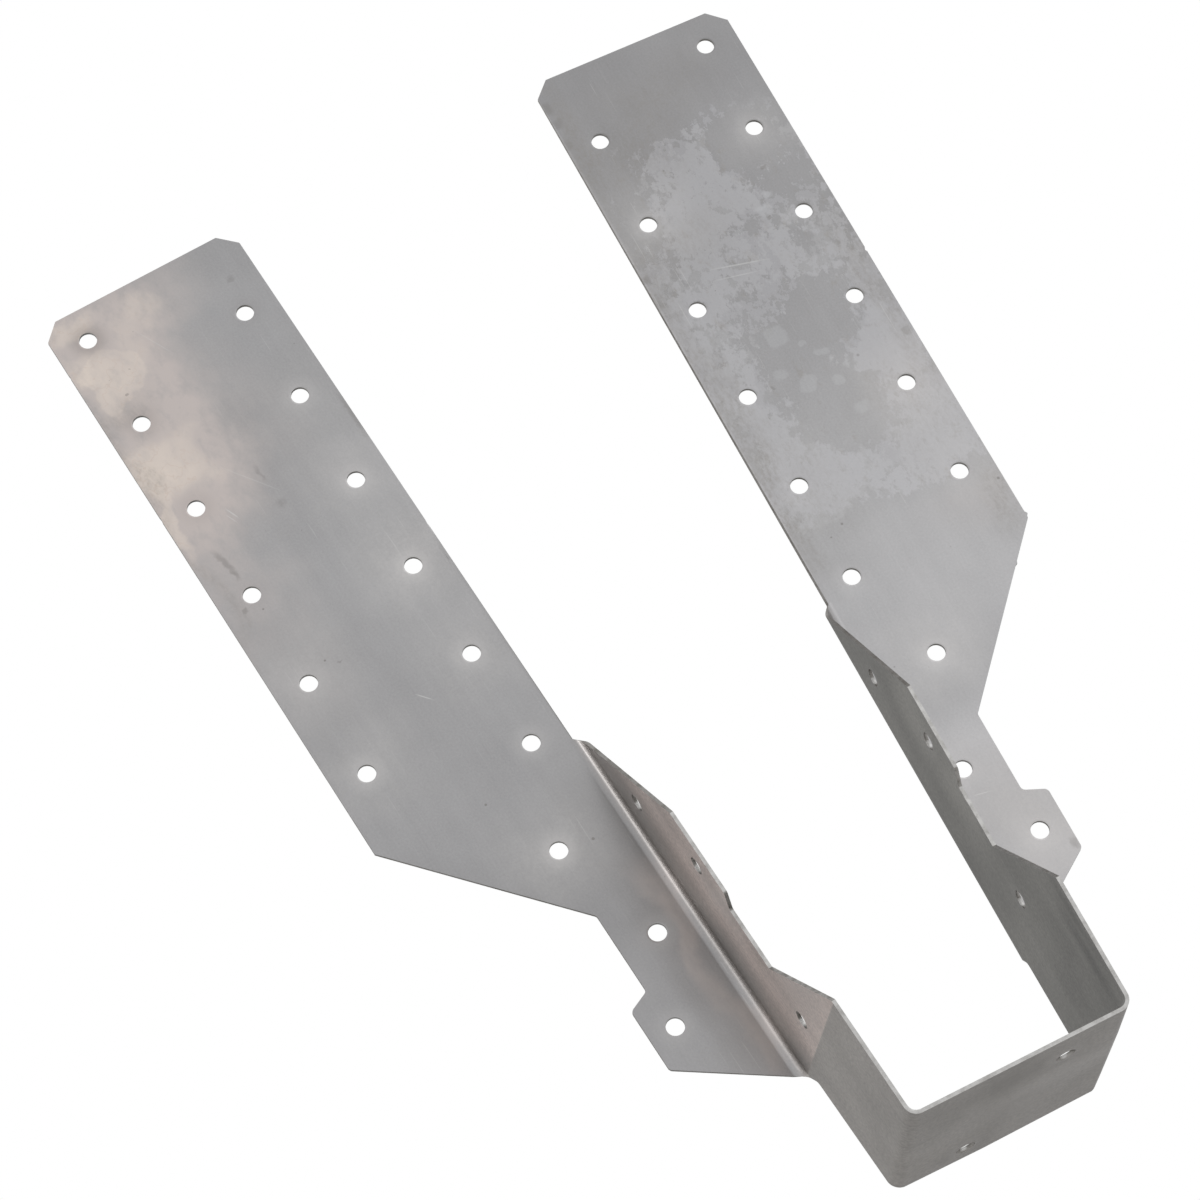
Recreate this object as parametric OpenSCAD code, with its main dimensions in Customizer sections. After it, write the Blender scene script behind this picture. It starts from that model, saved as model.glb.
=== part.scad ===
// Long leg joist hanger, folded from one flat blank of stainless steel sheet.
// X runs across the joist, Y towards the header and Z up. The origin is the middle of the seat's top face.
// Inside the modules y = 0 is the header, which the backs of both legs lie against.

/* [Sheet] */
// Thickness of the sheet
sheet_t = 0.8; // [0.6:0.05:1]
// Inside radius of the bends between side walls and legs
leg_bend_r = 2.4; // [1.8:0.1:3]
// Inside radius of the bends between seat and side walls
seat_bend_r = 2; // [1:0.1:3]

/* [Joist channel] */
// Clear width between the side walls at the seat
joist_w = 48.2; // [38:0.1:63]
// Distance from the header to the strap's front edge
strap_front = 57.2; // [54:0.1:62]
// Distance from the header to the strap's rear edge at the seat
strap_back = 7.4; // [6.5:0.1:9]
// Distance from the header to the strap's rear edge at the foot of the legs
strap_back_top = 5.9; // [5.5:0.1:6.4]
// Rounding where the strap's rear edge meets the foot of the legs
strap_back_round = 2; // [0.5:0.1:2.5]

/* [As folded] */
// Lean of the left leg, away from square to the seat
splay_left = 4.4; // [0:0.1:6]
// Lean of the right leg, away from square to the seat
splay_right = 1.1; // [0:0.1:6]
// How far the blank sat off centre on the former, which lengthens the right leg and shortens the left
blank_shift = 1; // [-1.5:0.1:1.5]

/* [Legs] */
// Height of the leg tops above the seat, along the leg
leg_h = 272.3; // [262:0.1:300]
// Width of a leg
leg_w = 49.8; // [48:0.1:56]
// Distance from the joist face to a leg's inner edge
leg_inset = 2.2; // [1.8:0.1:2.6]
// Size of the cut corners at the top of a leg
corner_cut = 4; // [2:0.1:6]
// Slope of the cuts that narrow the legs and the side walls
slant = 48.3; // [45:0.1:50]
// Distance from the joist face to the neck's outer edge
neck_w = 19.2; // [18:0.1:20]
// Height of the neck's upper end
neck_top = 85.3; // [82:0.1:88]
// Height of the neck's lower end
neck_low = 65.5; // [64.5:0.1:67]
// Distance from the joist face to the tab's outer edge
tab_w = 24.3; // [22.5:0.1:26]
// Height of the tab's upper corner
tab_top = 63.3; // [61:0.1:64]
// Height of the tab's lower corner
tab_low = 48.3; // [46:0.1:50]
// Slope of the cuts at the foot of the legs and at the front of the side walls
foot_slope = 34.7; // [33:0.1:36]
// Rounding of the neck's and tab's corners
tab_round = 1.2; // [0.4:0.1:1.6]

/* [Side walls] */
// Depth of a side wall's upper part, from the header
wall_d = 32.2; // [31:0.1:34]
// Height where the upper slope ends
shoulder = 86.4; // [83:0.1:90]
// Height of the small step in the front edge
step_h = 65.7; // [64:0.1:67]
// How far the small step goes back
step_d = 4.4; // [3.5:0.1:5]
// How far the small step drops
step_drop = 2.4; // [1.5:0.1:3.5]
// Height where the lower slope starts
shelf = 48.5; // [47:0.1:51]

/* [Nail holes] */
// Diameter of the nail holes
nail_d = 4.1; // [3.6:0.1:4.6]
// Nail holes in one column of a leg
column_n = 6; // [2:1:6]
// Distance between the holes of a column
pitch = 25; // [23:0.1:25.5]
// Distance from the leg's top to the outer column's first hole
outer_top = 8.2; // [6.5:0.1:10]
// Distance from the leg's outer edge to the outer column
outer_edge = 8; // [6.5:0.1:10]
// Distance from the leg's inner edge to the inner column
inner_edge = 8; // [6.5:0.1:10]
// Distance from the joist face to the outer two of the three low holes
low_hole_w = 18.2; // [17:0.1:19]
// Height of the highest low hole
low_hole_a = 102.2; // [99:0.1:105]
// Height of the middle low hole, which lies under the inner column
low_hole_b = 75.4; // [72:0.1:79]
// Height of the lowest hole, in the tab
low_hole_c = 55.7; // [54:0.1:57]
// Distance from the header to the side wall's upper hole
wall_hole_a_d = 11.8; // [10:0.1:13]
// Height of the side wall's upper hole
wall_hole_a_h = 98.9; // [95:0.1:102]
// Distance from the header to the side wall's middle hole
wall_hole_b_d = 25.1; // [23:0.1:27]
// Height of the side wall's middle hole
wall_hole_b_h = 76; // [74:0.1:80]
// Distance from the header to the side wall's lower hole
wall_hole_c_d = 25.9; // [23:0.1:29]
// Height of the side wall's lower hole
wall_hole_c_h = 36.3; // [33:0.1:39]
// Distance from the middle of the blank to each of the seat's two holes
seat_hole_x = 9.8; // [8:0.1:12]
// Distance from the header to the seat's rear hole
seat_hole_back = 14.5; // [12:0.1:17]
// Distance from the header to the seat's front hole
seat_hole_front = 46.1; // [43:0.1:50]

/* [Hidden] */
steel = [0.63, 0.63, 0.62];
hole_fn = 48;
bend_fn = 96;
corner_steps = 6;
over = 1;
// How far the seat laps its two bends and stands proud of them, so that the three join cleanly
lap = 0.02;
proud = 0.002;
// Where a leg and its side wall run into their bend, from the joist face and from the header
bend_at = sheet_t + leg_bend_r;
// Radius and developed length of the middle of the sheet in that bend
bend_mid = leg_bend_r + sheet_t / 2;
bend_len = bend_mid * PI / 2;
leg_out = leg_inset + leg_w;
stagger = pitch / 2;

// The blank's cuts run straight across the bends. Heights where they cross a leg's bend.
wall_top = shoulder + (wall_d - bend_at) * tan(slant);
leg_cut = wall_top + bend_len * tan(slant);
leg_foot = tab_low - (tab_w - bend_at) * tan(foot_slope);
wall_foot = leg_foot - bend_len * tan(foot_slope);

// Length of seat and of side wall that a seat bend takes up, measured from their sharp corner
function bend_take(splay) = seat_bend_r * tan(45 - splay / 2);
// Distance from the middle to where the flat of the seat ends and its bend starts
function seat_end(splay) = joist_w / 2 - bend_take(splay);

function xy(p) = [p[0], p[1]];
function unit(v) = v / norm(v);
function turn(a) = a > 180 ? a - 360 : a < -180 ? a + 360 : a;

// One corner [x, y, radius] of an outline, as an arc between its two neighbours
function corner(before, p, after) =
    let (
        a = unit(xy(before) - xy(p)),
        b = unit(xy(after) - xy(p)),
        half = acos(a * b) / 2,
        tangent = p[2] / tan(half),
        centre = xy(p) + unit(a + b) * p[2] / sin(half),
        from = xy(p) + a * tangent - centre,
        to = xy(p) + b * tangent - centre,
        start = atan2(from[1], from[0]),
        sweep = turn(atan2(to[1], to[0]) - start)
    )
    [for (i = [0 : corner_steps])
        centre + p[2] * [cos(start + sweep * i / corner_steps), sin(start + sweep * i / corner_steps)]];

function rounded(pts) =
    let (n = len(pts))
    [for (i = [0 : n - 1])
        each pts[i][2] == 0 ? [xy(pts[i])] : corner(pts[(i + n - 1) % n], pts[i], pts[(i + 1) % n])];

// The leg's holes, as distance from the joist face and height
outer_column = [for (i = [0 : column_n - 1]) [leg_out - outer_edge, leg_h - outer_top - i * pitch]];
inner_column = [for (i = [0 : column_n - 1])
    [leg_inset + inner_edge, leg_h - outer_top - stagger - i * pitch]];
low_holes = [
    [low_hole_w, low_hole_a],
    [leg_inset + inner_edge, low_hole_b],
    [low_hole_w, low_hole_c]
];
// The side wall's holes, as distance from the header and height
wall_holes = [
    [wall_hole_a_d, wall_hole_a_h],
    [wall_hole_b_d, wall_hole_b_h],
    [wall_hole_c_d, wall_hole_c_h]
];

// Upright plate of a leg: outer edge, cut corners, slant, neck and tab
module leg_plate() {
    outline = [
        [bend_at, leg_foot, 0],
        [tab_w, tab_low, tab_round],
        [tab_w, tab_top, tab_round],
        [neck_w, neck_low, tab_round],
        [neck_w, neck_top, tab_round],
        [leg_out, neck_top + (leg_out - neck_w) * tan(slant), 0],
        [leg_out, leg_h - corner_cut, 0],
        [leg_out - corner_cut, leg_h, 0],
        [leg_inset + corner_cut, leg_h, 0],
        [leg_inset, leg_h - corner_cut, 0],
        [leg_inset, leg_cut - (bend_at - leg_inset) * tan(slant), 0],
        [bend_at, leg_cut - 2 * (bend_at - leg_inset) * tan(slant), 0]
    ];
    rotate([90, 0, 0])
        difference() {
            linear_extrude(height = sheet_t) polygon(rounded(outline));
            for (h = concat(outer_column, inner_column, low_holes))
                translate([h[0], h[1], -over]) cylinder(d = nail_d, h = sheet_t + 2 * over, $fn = hole_fn);
        }
}

// Quarter-round bend that joins side wall and leg, trimmed where the blank's two cuts cross it
module leg_bend() {
    reach = bend_at + over;
    mid = bend_mid / sqrt(2);
    top = (leg_cut + wall_top) / 2;
    foot = (leg_foot + wall_foot) / 2;
    top_rise = (leg_cut - wall_top) / (2 * mid);
    foot_rise = (leg_foot - wall_foot) / (2 * mid);
    trim = [
        [-reach, foot - reach * foot_rise],
        [reach, foot + reach * foot_rise],
        [reach, top + reach * top_rise],
        [-reach, top - reach * top_rise]
    ];
    translate([bend_at, -bend_at, 0])
        intersection() {
            rotate([0, 0, 90])
                rotate_extrude(angle = 90, $fn = bend_fn)
                    translate([leg_bend_r, wall_foot - bend_len])
                        square([sheet_t, leg_cut - wall_foot + 2 * bend_len]);
            rotate([90, 0, 45])
                linear_extrude(height = 4 * reach, center = true) polygon(trim);
        }
}

// Side wall from its bend with the seat, at height low, up to the slope under the leg
module side_wall(low) {
    step_back = wall_d - step_d;
    outline = [
        [strap_back, low, 0],
        [strap_back_top, wall_foot - (strap_back_top - bend_at) * tan(foot_slope), strap_back_round],
        [bend_at, wall_foot, 0],
        [bend_at, wall_top, 0],
        [wall_d, shoulder, 0],
        [wall_d, step_h, tab_round],
        [step_back, step_h - step_drop, tab_round],
        [step_back, shelf, 0],
        [strap_front, shelf - (strap_front - step_back) * tan(foot_slope), 0],
        [strap_front, low, 0]
    ];
    translate([sheet_t, 0, 0])
        rotate([90, 0, -90])
            difference() {
                linear_extrude(height = sheet_t) polygon(rounded(outline));
                for (h = wall_holes)
                    translate([h[0], h[1], -over])
                        cylinder(d = nail_d, h = sheet_t + 2 * over, $fn = hole_fn);
            }
}

// Bend between the seat and one side wall, around its own axis
module seat_bend(splay) {
    rotate([90, 0, 0])
        rotate_extrude(angle = 90 - splay, start = splay - 90, $fn = bend_fn)
            translate([seat_bend_r, strap_back])
                square([sheet_t, strap_front - strap_back]);
}

// One side of the hanger, leaning out by its splay around the axis of its seat bend
module side(splay, shift) {
    corner_h = shift - bend_take(splay);
    translate([seat_end(splay), 0, seat_bend_r])
        rotate([0, splay, 0]) {
            seat_bend(splay);
            translate([seat_bend_r, 0, corner_h]) {
                side_wall(-corner_h);
                leg_bend();
                leg_plate();
            }
        }
}

// Flat seat under the joist, with its two diagonal holes
module seat() {
    left = -seat_end(splay_left) - lap;
    right = seat_end(splay_right) + lap;
    depth = strap_front - strap_back;
    difference() {
        translate([left, -strap_front - proud, -sheet_t - proud])
            cube([right - left, depth + 2 * proud, sheet_t + 2 * proud]);
        translate([blank_shift - seat_hole_x, -seat_hole_back, -sheet_t - over])
            cylinder(d = nail_d, h = sheet_t + 2 * over, $fn = hole_fn);
        translate([blank_shift + seat_hole_x, -seat_hole_front, -sheet_t - over])
            cylinder(d = nail_d, h = sheet_t + 2 * over, $fn = hole_fn);
    }
}

module hanger() {
    color(steel)
        translate([0, (strap_front + strap_back) / 2, 0]) {
            seat();
            side(splay_right, blank_shift);
            mirror([1, 0, 0]) side(splay_left, -blank_shift);
        }
}

hanger();
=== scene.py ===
import math
import random

import bmesh
import bpy
from mathutils import Matrix, Vector


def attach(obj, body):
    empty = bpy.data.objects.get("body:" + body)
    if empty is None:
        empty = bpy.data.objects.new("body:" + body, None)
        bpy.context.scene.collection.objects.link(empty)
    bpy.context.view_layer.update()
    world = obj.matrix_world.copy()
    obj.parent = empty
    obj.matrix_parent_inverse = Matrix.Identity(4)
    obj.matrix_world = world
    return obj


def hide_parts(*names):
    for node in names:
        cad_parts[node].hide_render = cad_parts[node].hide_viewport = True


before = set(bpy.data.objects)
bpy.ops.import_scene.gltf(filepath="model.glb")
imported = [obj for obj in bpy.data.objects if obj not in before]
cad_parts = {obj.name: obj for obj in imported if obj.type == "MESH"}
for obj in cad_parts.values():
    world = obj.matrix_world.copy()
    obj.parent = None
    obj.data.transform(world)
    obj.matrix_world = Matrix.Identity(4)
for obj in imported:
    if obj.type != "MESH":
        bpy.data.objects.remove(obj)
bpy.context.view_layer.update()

# sizes in mm, read on the flat blank: v up along a leg, u out from the joist, d forward from the header
sheet = {
    "thickness": 0.8,
    "legBend": 2.4,  # inside radii
    "seatBend": 2.0,
    "bendSteps": 12,
    "joistWidth": 48.2,
    "strapFront": 57.2,
    "strapBackRound": 2.0,
    "strapBackBow": (-4.0, 25.0),  # x and y of the bowed rear edge's furthest point
    "header": 32.3,  # from the middle of the seat to the header
    "cutRound": 0.3,  # at the outline's plain corners
    "edgeRound": 0.06,
    "edgeSteps": 2,
    "edgeAngle": 30,
    "easeStart": -15.0,  # y where the seat's bends start to flatten towards the rear
    "easeLength": 40.0,
    "easePower": 1.5,
}
leg = {
    "height": 272.3,
    "inset": 2.2,
    "width": 49.8,
    "corner": 4.0,
    "slant": 48.3,
    "neck": (19.2, 65.5, 85.3),  # how far out, lowest and highest
    "tab": (24.3, 48.3, 63.3),
    "footSlope": 34.7,
    "round": 1.2,
}
wall = {
    "depth": 32.2,
    "shoulder": 86.4,
    "step": (4.4, 2.4),  # back and down
    "stepHeight": 65.7,
    "shelf": 48.5,
}
nails = {
    "columnCount": 6,
    "pitch": 25.0,
    "outerTop": 8.2,
    "edge": 8.0,
    "low": ((18.2, 102.2), (10.2, 75.4), (18.2, 55.7)),
    "wall": ((11.8, 98.9), (25.1, 76.0), (25.9, 36.3)),
    "seat": ((-9.8, 14.5), (9.8, 46.1)),
    "segments": 40,
    # rings of mesh round each hole: radius and share of the dish; the last is the hole's own edge
    "rings": ((5.9, 0.0), (5.0, 0.12), (4.1, 0.38), (3.2, 0.72), (2.5, 0.95), (2.05, 1.0)),
    "seatLip": 0.12,
    "dish": (0.02, 0.08),  # how far the punch pulled the sheet, least and most
    "seed": 7,
    # how light the painted ring round each hole is, from the top, a painted highlight of the punch's dish; below 0
    # it is painted shade
    "outerRings": {"left": (-0.9, -0.45, -0.3, -0.15, 0.5, 0.7), "right": (0.0, 0.35, 0.1, 0.0, 0.1, 0.0)},
    "innerRings": {"left": (-0.2, 0.5, 0.7, 1.0, 0.7, 0.6), "right": (0.0, 0.5, 0.0, 0.1, 0.1, 0.3)},
    "lowRings": {"left": (0.9, 0.4, 0.5), "right": (0.7, 0.5, 0.4)},
    "wallRing": 0.3,
    "seatRing": 0.5,
}
sides = {
    # strapBack: where the rear edge runs at the seat and at the foot; it was cut a little askew
    # ease: how far the seat's bend is flattened at its rear end
    # finish: the material slot of this leg's front face
    # nicks: stretch of the outline, share along it, width, depth; below 0 it is a burr
    "left": {
        "sign": -1, "splay": 4.4, "shift": -1.0, "strapBack": (8.3, 6.5), "ease": 0.1, "finish": 3,
        "nicks": ((10, 0.2, 1.0, 0.08), (10, 0.36, 1.6, 0.1), (6, 0.42, 2.0, 0.08)),
    },
    "right": {
        "sign": 1, "splay": 1.1, "shift": 1.0, "strapBack": (7.2, 5.1), "ease": 0.75, "finish": 4,
        "nicks": ((2, 0.32, 1.2, 0.12), (2, 0.5, 1.6, 0.16), (2, 0.66, 1.0, 0.1), (2, 0.8, 1.8, 0.2),
                  (10, 0.482, 1.2, 0.28), (10, 0.993, 1.4, -0.45), (11, 0.235, 1.0, -0.2)),
    },
}
millimetre = 0.001
flatUnit = 100  # mm of the blank in one unit of the flat UV map


def tanDeg(angle):
    return math.tan(math.radians(angle))


bendAt = sheet["thickness"] + sheet["legBend"]
bendLength = (sheet["legBend"] + sheet["thickness"] / 2) * math.pi / 2
legBendStart = sheet["header"] - bendAt
legStart = legBendStart + bendLength
wallTop = wall["shoulder"] + (wall["depth"] - bendAt) * tanDeg(leg["slant"])
legCut = wallTop + bendLength * tanDeg(leg["slant"])
stripLow = legCut - (bendAt - leg["inset"]) * tanDeg(leg["slant"])  # lower end of the strip inside each leg's bend
legFoot = leg["tab"][1] - (leg["tab"][0] - bendAt) * tanDeg(leg["footSlope"])
wallFoot = legFoot - bendLength * tanDeg(leg["footSlope"])
legOut = leg["inset"] + leg["width"]

for side in sides.values():
    side["take"] = sheet["seatBend"] * tanDeg(45 - side["splay"] / 2)
    side["seatEnd"] = sheet["joistWidth"] / 2 - side["take"]
    side["arc"] = (sheet["seatBend"] + sheet["thickness"] / 2) * math.radians(90 - side["splay"])
    side["zero"] = side["seatEnd"] + side["arc"] + side["shift"] - side["take"]  # x on the blank where v is 0


def onWall(side, d, v):
    return (side["sign"] * (side["zero"] + v), sheet["header"] - d)


def onLeg(side, u, v):
    return (side["sign"] * (side["zero"] + v), legStart + u - bendAt)


def sideOutline(side):
    neckOut, neckLow, neckTop = leg["neck"]
    tabOut, tabLow, tabTop = leg["tab"]
    stepBack = wall["depth"] - wall["step"][0]
    backSeat, backFoot = side["strapBack"]
    lowEdge = side["take"] - side["shift"]
    foot = tanDeg(leg["footSlope"])
    tight, wide = sheet["cutRound"], leg["round"]
    return [
        (*onWall(side, sheet["strapFront"], lowEdge), 0),
        (*onWall(side, sheet["strapFront"], wall["shelf"] - (sheet["strapFront"] - stepBack) * foot), tight),
        (*onWall(side, stepBack, wall["shelf"]), tight),
        (*onWall(side, stepBack, wall["stepHeight"] - wall["step"][1]), wide),
        (*onWall(side, wall["depth"], wall["stepHeight"]), wide),
        (*onWall(side, wall["depth"], wall["shoulder"]), tight),
        (*onLeg(side, leg["inset"], stripLow), 0),
        (*onLeg(side, leg["inset"], leg["height"] - leg["corner"]), tight),
        (*onLeg(side, leg["inset"] + leg["corner"], leg["height"]), tight),
        (*onLeg(side, legOut - leg["corner"], leg["height"]), tight),
        (*onLeg(side, legOut, leg["height"] - leg["corner"]), tight),
        (*onLeg(side, legOut, neckTop + (legOut - neckOut) * tanDeg(leg["slant"])), tight),
        (*onLeg(side, neckOut, neckTop), wide),
        (*onLeg(side, neckOut, neckLow), wide),
        (*onLeg(side, tabOut, tabTop), wide),
        (*onLeg(side, tabOut, tabLow), wide),
        (*onWall(side, backFoot, wallFoot - (backFoot - bendAt) * foot), sheet["strapBackRound"]),
        (*onWall(side, backSeat, lowEdge), 0),
    ]


def roundCorner(before, corner, after, steps=5):
    point = Vector(corner[:2])
    toBefore = (Vector(before[:2]) - point).normalized()
    toAfter = (Vector(after[:2]) - point).normalized()
    half = toBefore.angle(toAfter) / 2
    middle = point + (toBefore + toAfter).normalized() * corner[2] / math.sin(half)
    start = point + toBefore * corner[2] / math.tan(half) - middle
    end = point + toAfter * corner[2] / math.tan(half) - middle
    sweep = start.angle_signed(end)
    return [middle + Matrix.Rotation(-sweep * i / steps, 2) @ start for i in range(steps + 1)]


def addNicks(corners, nicks, sign):
    for stretch, share, width, depth in sorted(nicks, reverse=True):
        start, end = Vector(corners[stretch][:2]), Vector(corners[stretch + 1][:2])
        along = (end - start).normalized()
        inward = Vector((-along.y, along.x)) * sign
        middle = start.lerp(end, share)
        points = (middle - along * width / 2, middle + inward * depth, middle + along * width / 2)
        corners[stretch + 1:stretch + 1] = [(*point, 0) for point in points]
    return corners


def blankOutline():
    halves = {name: addNicks(sideOutline(side), side["nicks"], side["sign"]) for name, side in sides.items()}
    corners = halves["right"] + [(*sheet["strapBackBow"], 0)] + halves["left"][::-1]
    points = []
    for i, corner in enumerate(corners):
        if corner[2] == 0:
            points.append(Vector(corner[:2]))
        else:
            points += roundCorner(corners[i - 1], corner, corners[(i + 1) % len(corners)])
    return points


def holePlaces():
    holes = []  # place on the blank and the painted light of the ring round it, below 0 painted shade
    for name, side in sides.items():
        for i in range(nails["columnCount"]):
            top = leg["height"] - nails["outerTop"] - i * nails["pitch"]
            outer = onLeg(side, legOut - nails["edge"], top)
            inner = onLeg(side, leg["inset"] + nails["edge"], top - nails["pitch"] / 2)
            holes += [(outer, nails["outerRings"][name][i]), (inner, nails["innerRings"][name][i])]
        holes += [(onLeg(side, *hole), glow) for hole, glow in zip(nails["low"], nails["lowRings"][name])]
        holes += [(onWall(side, *hole), nails["wallRing"]) for hole in nails["wall"]]
    shift = sides["right"]["shift"]
    holes += [((x + shift, sheet["header"] - d), nails["seatRing"]) for x, d in nails["seat"]]
    return holes


# the flat blank, on the middle of the sheet's thickness, with a ring of edges round each hole
def cutBlank(bm):
    level = -sheet["thickness"] / 2
    rim = [bm.verts.new((p.x, p.y, level)) for p in blankOutline()]
    edges = [bm.edges.new((rim[i - 1], rim[i])) for i in range(len(rim))]
    rings = []
    for (x, y), glow in holePlaces():
        made = bmesh.ops.create_circle(bm, cap_ends=False, segments=nails["segments"],
                                       radius=nails["rings"][0][0], matrix=Matrix.Translation((x, y, level)))
        ring = list({edge for vert in made["verts"] for edge in vert.link_edges})
        rings.append((Vector((x, y, level)), ring, glow))
        edges += ring
    bmesh.ops.triangle_fill(bm, use_beauty=True, use_dissolve=False, edges=edges, normal=(0, 0, 1))
    return rings


# each ring is drawn in towards its hole, and dips as the punch pulled the sheet
def punchHoles(bm, rings, paintedDishShade):
    rng = random.Random(nails["seed"])
    for centre, ring, glow in rings:
        pull = rng.uniform(*nails["dish"])
        radii = nails["rings"]
        for (wide, before), (tight, share) in zip(radii, radii[1:]):
            made = bmesh.ops.extrude_edge_only(bm, edges=ring)["geom"]
            inner = [item for item in made if isinstance(item, bmesh.types.BMVert)]
            ring = [item for item in made if isinstance(item, bmesh.types.BMEdge)
                    and all(vert in inner for vert in item.verts)]
            bmesh.ops.scale(bm, vec=(tight / wide, tight / wide, 1), space=Matrix.Translation(-centre),
                            verts=inner)
            bmesh.ops.translate(bm, vec=(0, 0, pull * (share - before)), verts=inner)
            # painted light and shade round the hole, fading out across the dish
            for vert in inner:
                vert[paintedDishShade] = glow * share
        if abs(centre.x) < sheet["joistWidth"] / 2:  # the punch left a lip under the seat
            bmesh.ops.translate(bm, vec=(0, 0, -nails["seatLip"] - pull), verts=inner)


def cutAcross(bm, point, normal):
    bmesh.ops.bisect_plane(bm, geom=bm.verts[:] + bm.edges[:] + bm.faces[:], dist=1e-6,
                           plane_co=point, plane_no=normal)


# a bend is many small turns, each at its own line across the blank, from the far end back to the start
def bendStations(start, length, angle):
    steps = sheet["bendSteps"]
    stations = []
    for i in range(steps, -1, -1):
        share = 0.5 if i in (0, steps) else 1
        stations.append((start + length * i / steps, math.radians(angle) * share / steps))
    return stations


def foldSheet(bm):
    level = -sheet["thickness"] / 2
    legBends = bendStations(legBendStart, bendLength, 90)
    for y, angle in legBends:
        cutAcross(bm, (0, y, 0), (0, 1, 0))
    for side in sides.values():
        side["bends"] = bendStations(side["seatEnd"], side["arc"], 90 - side["splay"])
        for x, angle in side["bends"]:
            cutAcross(bm, (side["sign"] * x, 0, 0), (1, 0, 0))
    flat = bm.loops.layers.uv.new("flat")
    for face in bm.faces:
        for loop in face.loops:
            loop[flat].uv = loop.vert.co.xy / flatUnit
    places = {vert: vert.co.xy for vert in bm.verts}
    past = 1e-4  # a vertex this far beyond a line turns with it
    for side in sides.values():
        reach = side["zero"] + stripLow
        for y, angle in legBends:
            moved = [vert for vert, p in places.items() if side["sign"] * p.x > 0
                     and (p.y > y + past or (side["sign"] * p.x > reach + 0.01 and p.y > legBendStart))]
            bmesh.ops.rotate(bm, cent=(0, y, level), matrix=Matrix.Rotation(-angle, 3, "X"), verts=moved)
        for x, angle in side["bends"]:
            moved = [vert for vert, p in places.items() if side["sign"] * p.x > x + past]
            bmesh.ops.rotate(bm, cent=(side["sign"] * x, 0, level),
                             matrix=Matrix.Rotation(-side["sign"] * angle, 3, "Y"), verts=moved)
        for vert, p in places.items():
            middle = side["sign"] * p.x - side["seatEnd"] - side["arc"] / 2
            rear = min(1, max(0, (p.y - sheet["easeStart"]) / sheet["easeLength"]))
            if abs(middle) < side["arc"] and rear > 0:
                across = math.cos(middle / side["arc"] * math.pi / 2) ** 2
                share = side["ease"] * rear ** sheet["easePower"] * across
                vert.co += Vector((-side["sign"], 0, 1)) * share * math.sqrt(0.5)


# the sheet's front face has one finish on each leg and one on the strap
def shareOutFinishes(mesh):
    uvs = mesh.uv_layers["flat"].data
    for face in mesh.polygons:
        if face.material_index == 1:
            places = [uvs[i].uv * flatUnit for i in face.loop_indices]
            middle = sum(places, Vector((0, 0))) / len(places)
            for side in sides.values():
                away = side["sign"] * middle.x
                onStrip = away > side["zero"] + stripLow and middle.y > legBendStart
                if away > 0 and (middle.y > legStart or onStrip):
                    face.material_index = side["finish"]


def placeMesh(bm, name, materials):
    mesh = bpy.data.meshes.new(name)
    bm.to_mesh(mesh)
    bm.free()
    for material in materials:
        mesh.materials.append(material)
    piece = bpy.data.objects.new(name, mesh)
    bpy.context.scene.collection.objects.link(piece)
    return piece


def makeHanger(materials):
    bm = bmesh.new()
    paintedDishShade = bm.verts.layers.float.new("paintedDishShade")
    rings = cutBlank(bm)
    punchHoles(bm, rings, paintedDishShade)
    bmesh.ops.reverse_faces(bm, faces=[face for face in bm.faces if face.normal.z < 0])
    foldSheet(bm)
    bmesh.ops.scale(bm, vec=(millimetre, millimetre, millimetre), verts=bm.verts[:])
    for face in bm.faces:
        face.smooth = True
    piece = placeMesh(bm, "foldedSheet", materials)
    solid = piece.modifiers.new("thickness", "SOLIDIFY")
    solid.thickness = sheet["thickness"] * millimetre
    solid.offset = 0
    solid.use_even_offset = True
    solid.material_offset = 1
    solid.material_offset_rim = 2
    thin = piece.data
    shown = piece.evaluated_get(bpy.context.evaluated_depsgraph_get())
    piece.data = bpy.data.meshes.new_from_object(shown)
    piece.data.name = "foldedSheet"
    piece.modifiers.clear()
    bpy.data.meshes.remove(thin)
    shareOutFinishes(piece.data)
    soften = piece.modifiers.new("softEdges", "BEVEL")
    soften.width = sheet["edgeRound"] * millimetre
    soften.segments = sheet["edgeSteps"]
    soften.limit_method = "ANGLE"
    soften.angle_limit = math.radians(sheet["edgeAngle"])
    piece.modifiers.new("flatShading", "WEIGHTED_NORMAL").keep_sharp = True
    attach(piece, "root")
    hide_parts("hanger")
    return piece


def addNode(tree, kind, inputs=None, **settings):
    node = tree.nodes.new(kind)
    for name, value in settings.items():
        setattr(node, name, value)
    for name, value in (inputs or {}).items():
        if isinstance(value, bpy.types.NodeSocket):
            tree.links.new(value, node.inputs[name])
        else:
            node.inputs[name].default_value = value
    return node


def calculate(tree, operation, first, second=0.0, third=0.0):
    return addNode(tree, "ShaderNodeMath", {0: first, 1: second, 2: third}, operation=operation).outputs[0]


def ramp(tree, value, low, high, toLow=0.0, toHigh=1.0):
    node = addNode(tree, "ShaderNodeMapRange", {"Value": value, "From Min": low, "From Max": high,
                                                "To Min": toLow, "To Max": toHigh},
                   interpolation_type="SMOOTHSTEP")
    return node.outputs["Result"]


def mixColour(tree, amount, first, second, blend="MIX"):
    # sockets 6 and 7 are the two colours, and 2 is the mixed one
    node = addNode(tree, "ShaderNodeMix", {"Factor": amount, 6: first, 7: second},
                   data_type="RGBA", blend_type=blend)
    return node.outputs[2]


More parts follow.
